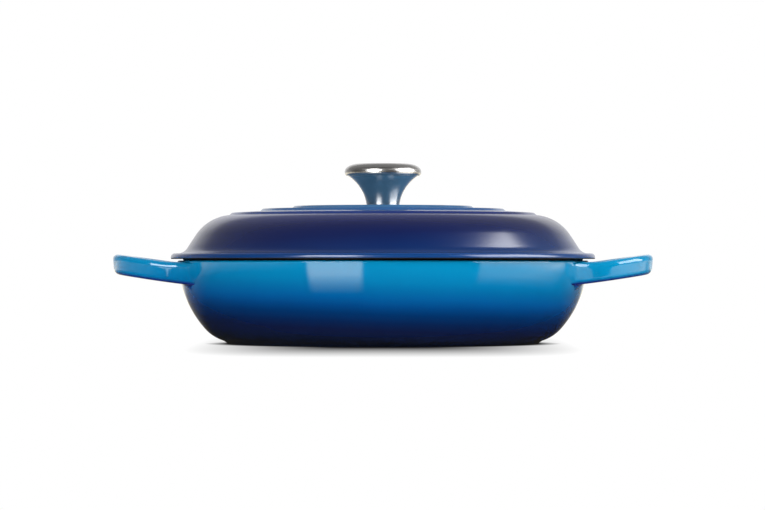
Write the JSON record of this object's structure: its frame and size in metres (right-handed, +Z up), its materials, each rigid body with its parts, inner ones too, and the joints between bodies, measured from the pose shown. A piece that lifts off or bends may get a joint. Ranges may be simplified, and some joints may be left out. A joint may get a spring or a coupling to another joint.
{
  "type": "braiser",
  "caption": "Shallow round enamelled cast-iron braiser with two loop handles and a domed lid with a flared steel knob.",
  "frame": {"origin": "centre of the base, on the table", "axes": "+Z up along the pan's axis, +X towards the right handle, so both handles lie along X"},
  "size_m": [0.3398, 0.2678, 0.1141],
  "materials": {
    "pan": "glossy vitreous enamel over cast iron, bright azure at the rim and handles fading to near-black blue at the base; matt black rim; pale sand enamel inside",
    "lid": "glossy vitreous enamel over cast iron, indigo shoulder fading to azure at the middle; matt black underside rim; pale sand enamel inside",
    "knob_neck": "polished stainless steel",
    "knob_cap": "satin stainless steel",
    "knob_insert": "turned stainless steel",
    "knob_gasket": "heat-proof silicone",
    "knob_washer": "stamped stainless steel",
    "knob_screw": "turned stainless steel"
  },
  "bodies": {
    "pan": {"pan": "pan"},
    "lid": {"lid": "lid", "knob_neck": "knob_neck", "knob_cap": "knob_cap", "knob_insert": "knob_insert", "knob_gasket": "knob_gasket", "knob_washer": "knob_washer", "knob_screw": "knob_screw"}
  },
  "joints": [
    {"name": "lid_lift", "type": "slide", "parent": "pan", "child": "lid", "axis": [0, 0, 1], "range_m": [0, 0.15]}
  ]
}
